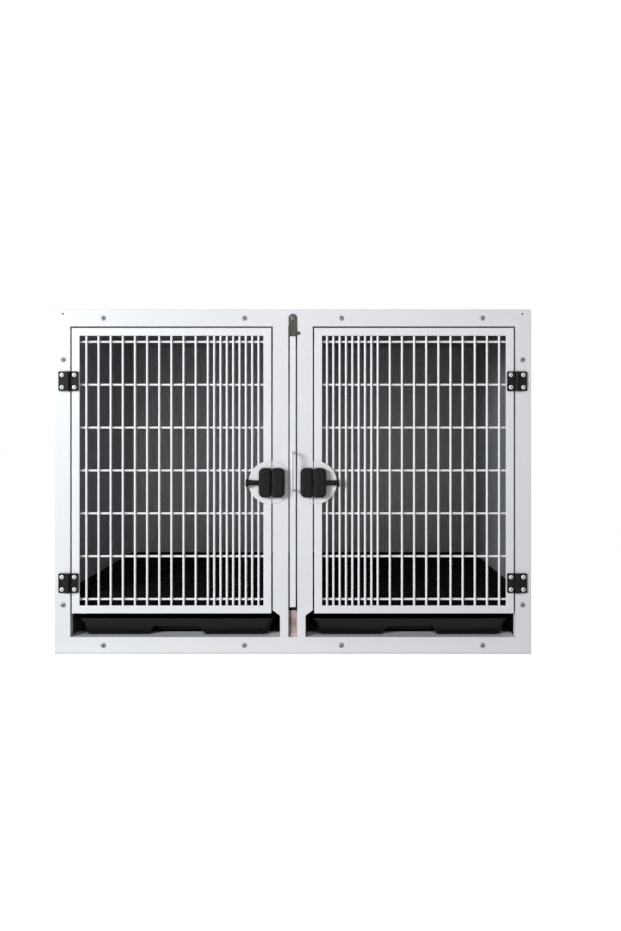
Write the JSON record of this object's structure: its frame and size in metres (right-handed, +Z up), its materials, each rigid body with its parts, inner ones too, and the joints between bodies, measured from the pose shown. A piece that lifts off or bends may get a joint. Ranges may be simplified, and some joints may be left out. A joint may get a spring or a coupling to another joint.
{
  "type": "modular animal cage",
  "caption": "Modular animal cage: boxed cabinet with a white formed-steel front, hinged wire doors with spring latches, pull-out trays under raised floors and a divider that slides out.",
  "frame": {"origin": "middle of the underside, on the floor", "axes": "+X to the right seen from the front, +Y to the back, +Z up; the front faces -Y"},
  "size_m": [1.22, 0.745, 0.882],
  "materials": {
    "white_steel": "smooth satin white coat on folded sheet",
    "door_white": "satin white coat on welded angle steel and wire",
    "grey_board": "grey laminate on board, fine grain, matt",
    "white_board": "white laminate on board, fine grain, satin",
    "bare_fibreboard": "raw cut fibreboard",
    "black_hinge": "black coat with a grey sheen",
    "zinc_steel": "zinc-plated, slightly dull",
    "latch_black": "moulded black, soft sheen",
    "tray_black": "vacuum-formed black with a fine grain",
    "guide_dark": "extruded dark glide",
    "trim_white": "satin white edge strip",
    "handle_steel": "bent round wire, brushed",
    "clip_steel": "dark olive passivated steel"
  },
  "bodies": {
    "cabinet": {"front_frame": "white_steel", "left_keeper_plate": "white_steel", "right_keeper_plate": "white_steel", "bottom_board": "grey_board", "top_board": "grey_board", "back_panel": "grey_board", "left_side_board": "grey_board", "right_side_board": "grey_board", "front_battens": "bare_fibreboard", "centre_sill": "bare_fibreboard", "divider_header": "bare_fibreboard", "tray_runners": "bare_fibreboard", "floor_ledges": "bare_fibreboard", "left_upper_hinge_frame_leaf": "black_hinge", "left_lower_hinge_frame_leaf": "black_hinge", "right_upper_hinge_frame_leaf": "black_hinge", "right_lower_hinge_frame_leaf": "black_hinge", "front_frame_screws": "zinc_steel", "hinge_frame_screws": "zinc_steel", "keeper_screws": "zinc_steel", "clip_screw": "zinc_steel", "left_hinge_pins": "zinc_steel", "right_hinge_pins": "zinc_steel", "left_keeper": "latch_black", "right_keeper": "latch_black", "left_front_floor_panel": "tray_black", "left_rear_floor_panel": "tray_black", "right_front_floor_panel": "tray_black", "right_rear_floor_panel": "tray_black", "divider_glide": "guide_dark", "divider_rear_guide": "guide_dark"},
    "left_door": {"left_upper_hinge_door_leaf": "black_hinge", "left_lower_hinge_door_leaf": "black_hinge", "left_hinge_door_screws": "zinc_steel", "left_door_frame": "door_white", "left_door_grille": "door_white", "left_latch_plate": "white_steel", "left_latch_case": "latch_black", "left_latch_screws": "zinc_steel", "left_latch_spring": "zinc_steel"},
    "right_door": {"right_upper_hinge_door_leaf": "black_hinge", "right_lower_hinge_door_leaf": "black_hinge", "right_hinge_door_screws": "zinc_steel", "right_door_frame": "door_white", "right_door_grille": "door_white", "right_latch_plate": "white_steel", "right_latch_case": "latch_black", "right_latch_screws": "zinc_steel", "right_latch_spring": "zinc_steel"},
    "left_latch_bolt": {"left_latch_bolt": "latch_black"},
    "right_latch_bolt": {"right_latch_bolt": "latch_black"},
    "left_tray": {"left_tray": "tray_black"},
    "right_tray": {"right_tray": "tray_black"},
    "divider": {"divider_board": "white_board", "divider_trim": "trim_white", "divider_handle": "handle_steel"},
    "divider_clip": {"divider_clip": "clip_steel"}
  },
  "joints": [
    {"name": "left_door_swing", "type": "hinge", "parent": "cabinet", "child": "left_door", "pos_m": [-0.573, -0.361, 0.44], "axis": [0, 0, -1], "range_deg": [0, 155]},
    {"name": "right_door_swing", "type": "hinge", "parent": "cabinet", "child": "right_door", "pos_m": [0.573, -0.361, 0.44], "axis": [0, 0, 1], "range_deg": [0, 155]},
    {"name": "left_bolt_slide", "type": "slide", "parent": "left_door", "child": "left_latch_bolt", "axis": [-1, 0, 0], "range_m": [0, 0.013], "stiffness_N_per_m": 300, "springref_m": -0.008, "deforming": ["left_latch_spring"]},
    {"name": "right_bolt_slide", "type": "slide", "parent": "right_door", "child": "right_latch_bolt", "axis": [1, 0, 0], "range_m": [0, 0.013], "stiffness_N_per_m": 300, "springref_m": -0.008, "deforming": ["right_latch_spring"]},
    {"name": "left_tray_slide", "type": "slide", "parent": "cabinet", "child": "left_tray", "axis": [0, -1, 0], "range_m": [0, 0.6]},
    {"name": "right_tray_slide", "type": "slide", "parent": "cabinet", "child": "right_tray", "axis": [0, -1, 0], "range_m": [0, 0.6]},
    {"name": "divider_slide", "type": "slide", "parent": "cabinet", "child": "divider", "axis": [0, -1, 0], "range_m": [0, 0.66]},
    {"name": "divider_clip_turn", "type": "hinge", "parent": "cabinet", "child": "divider_clip", "pos_m": [0, -0.355, 0.8595], "axis": [0, 1, 0], "range_deg": [-90, 90]}
  ]
}
